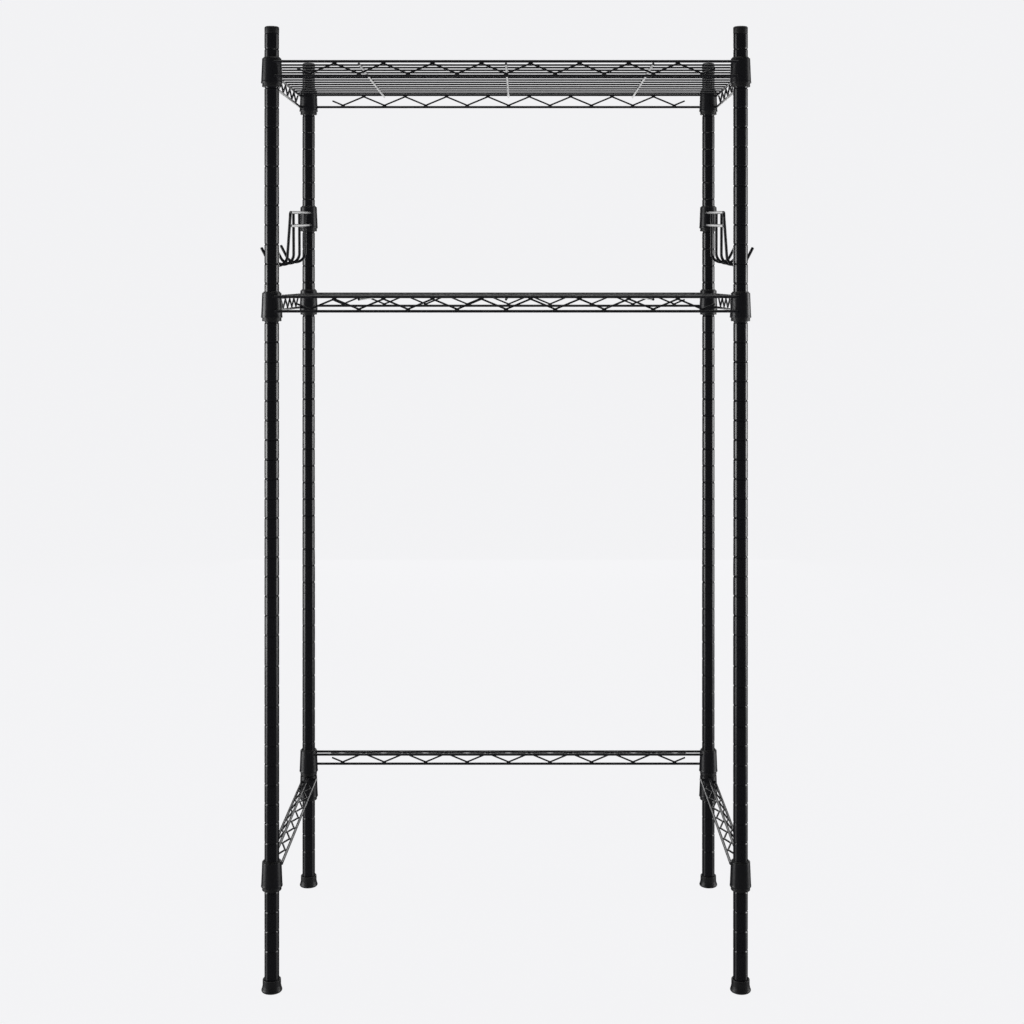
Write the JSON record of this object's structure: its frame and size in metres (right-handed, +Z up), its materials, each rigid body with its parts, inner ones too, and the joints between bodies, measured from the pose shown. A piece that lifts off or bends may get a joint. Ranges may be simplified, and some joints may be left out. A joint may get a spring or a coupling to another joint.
{
  "type": "over the toilet storage rack",
  "caption": "Wire storage rack that stands over a toilet: grooved posts, wire shelves on tapered collars, side hook racks, braces and levelling feet.",
  "frame": {"origin": "on the floor, under the middle of the rack", "axes": "+Z up, -Y towards the front, +X to the right as seen from the front"},
  "size_m": [0.6848, 0.378, 1.255],
  "materials": {
    "coated_posts": "gloss black epoxy coat on steel tube",
    "coated_wire": "satin black epoxy coat on steel wire and stamped collars",
    "sleeve_plastic": "moulded black plastic",
    "cap_plastic": "moulded black plastic, slightly worn",
    "foot_plastic": "moulded black plastic",
    "plated_steel": "zinc-plated steel"
  },
  "bodies": {
    "frame": {"upper_post_front_left": "coated_posts", "upper_post_front_right": "coated_posts", "upper_post_back_left": "coated_posts", "upper_post_back_right": "coated_posts", "lower_post_front_left": "coated_posts", "lower_post_front_right": "coated_posts", "lower_post_back_left": "coated_posts", "lower_post_back_right": "coated_posts", "post_caps": "cap_plastic", "joint_studs": "plated_steel", "joint_nuts": "plated_steel", "foot_nuts": "plated_steel", "top_shelf_sleeves": "sleeve_plastic", "mid_shelf_sleeves": "sleeve_plastic", "hook_rack_sleeves": "sleeve_plastic", "back_brace_sleeves": "sleeve_plastic", "side_brace_sleeves": "sleeve_plastic", "back_brace_collars": "coated_wire", "back_brace_wires": "coated_wire", "back_brace_snakes": "coated_wire", "left_brace_collars": "coated_wire", "left_brace_wires": "coated_wire", "left_brace_snakes": "coated_wire", "right_brace_collars": "coated_wire", "right_brace_wires": "coated_wire", "right_brace_snakes": "coated_wire"},
    "top_shelf": {"top_shelf_collars": "coated_wire", "top_shelf_front_wires": "coated_wire", "top_shelf_back_wires": "coated_wire", "top_shelf_left_wires": "coated_wire", "top_shelf_right_wires": "coated_wire", "top_shelf_snakes": "coated_wire", "top_shelf_mat": "coated_wire", "top_shelf_ribs": "coated_wire"},
    "mid_shelf": {"mid_shelf_collars": "coated_wire", "mid_shelf_front_wires": "coated_wire", "mid_shelf_back_wires": "coated_wire", "mid_shelf_left_wires": "coated_wire", "mid_shelf_right_wires": "coated_wire", "mid_shelf_snakes": "coated_wire", "mid_shelf_mat": "coated_wire", "mid_shelf_ribs": "coated_wire"},
    "left_rack": {"left_rack_collar": "coated_wire", "left_rack_wires": "coated_wire", "left_rack_hooks": "coated_wire"},
    "right_rack": {"right_rack_collar": "coated_wire", "right_rack_wires": "coated_wire", "right_rack_hooks": "coated_wire"},
    "foot_front_left": {"foot_front_left": "foot_plastic", "foot_screw_front_left": "plated_steel"},
    "foot_front_right": {"foot_front_right": "foot_plastic", "foot_screw_front_right": "plated_steel"},
    "foot_back_left": {"foot_back_left": "foot_plastic", "foot_screw_back_left": "plated_steel"},
    "foot_back_right": {"foot_back_right": "foot_plastic", "foot_screw_back_right": "plated_steel"}
  },
  "joints": [
    {"name": "top_shelf_lift", "type": "slide", "parent": "frame", "child": "top_shelf", "axis": [0, 0, 1], "range_m": [0, 0.045]},
    {"name": "mid_shelf_lift", "type": "slide", "parent": "frame", "child": "mid_shelf", "axis": [0, 0, 1], "range_m": [0, 0.03]},
    {"name": "left_rack_swing", "type": "hinge", "parent": "frame", "child": "left_rack", "pos_m": [-0.305, 0.175, 1.0192], "axis": [0, 0, -1], "range_deg": [0, 90]},
    {"name": "right_rack_swing", "type": "hinge", "parent": "frame", "child": "right_rack", "pos_m": [0.305, 0.175, 1.0192], "axis": [0, 0, 1], "range_deg": [0, 90]},
    {"name": "foot_front_left_screw", "type": "slide", "parent": "frame", "child": "foot_front_left", "axis": [0, 0, -1], "range_m": [0, 0.01]},
    {"name": "foot_front_right_screw", "type": "slide", "parent": "frame", "child": "foot_front_right", "axis": [0, 0, -1], "range_m": [0, 0.01]},
    {"name": "foot_back_left_screw", "type": "slide", "parent": "frame", "child": "foot_back_left", "axis": [0, 0, -1], "range_m": [0, 0.01]},
    {"name": "foot_back_right_screw", "type": "slide", "parent": "frame", "child": "foot_back_right", "axis": [0, 0, -1], "range_m": [0, 0.01]}
  ]
}
